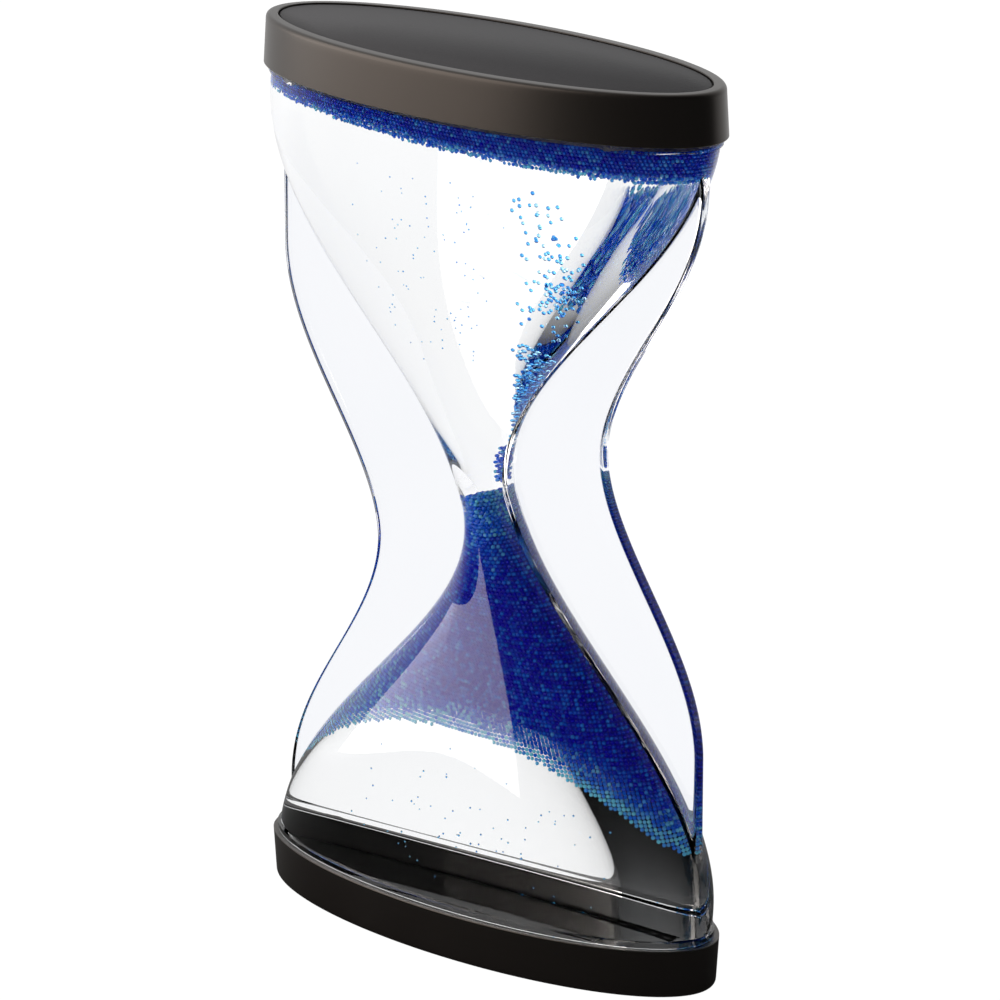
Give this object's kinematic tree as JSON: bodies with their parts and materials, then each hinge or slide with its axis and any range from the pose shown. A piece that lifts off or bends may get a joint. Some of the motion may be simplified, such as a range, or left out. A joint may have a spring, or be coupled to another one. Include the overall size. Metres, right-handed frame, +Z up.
{
  "type": "liquid hourglass timer",
  "caption": "Liquid hourglass timer: blue beads rise through clear liquid in a flat clear hourglass vessel with side fins, between two oval black end caps.",
  "frame": {"origin": "centre of the base, on the surface that the timer stands on", "axes": "+Z up along the height, +X along the width of the oval caps, -Y towards the front face"},
  "size_m": [0.0892, 0.0336, 0.145],
  "materials": {
    "clear_vessel": "clear polished moulding",
    "clear_liquid": "clear liquid",
    "blue_bead": "translucent deep blue",
    "pale_bead": "translucent pale grey blue",
    "black_cap": "fine satin moulded texture",
    "pad": "fine matt grain",
    "plug": "smooth"
  },
  "bodies": {
    "timer": {"vessel": "clear_vessel", "upper_closure_plate": "clear_vessel", "lower_closure_plate": "clear_vessel", "fill_plug": "plug", "top_cap": "black_cap", "bottom_cap": "black_cap", "top_pad": "pad", "bottom_pad": "pad", "liquid": "clear_liquid", "upper_bead_bed": "blue_bead", "lower_bead_bed": "blue_bead", "neck_beads": "blue_bead", "loose_beads": "blue_bead", "drifting_beads": "pale_bead"},
    "rising": {"rising_beads": "blue_bead"}
  },
  "joints": [
    {"name": "bead_rise", "type": "slide", "parent": "timer", "child": "rising", "axis": [0.3219, 0, 0.9468], "range_m": [0, 0.009]}
  ]
}
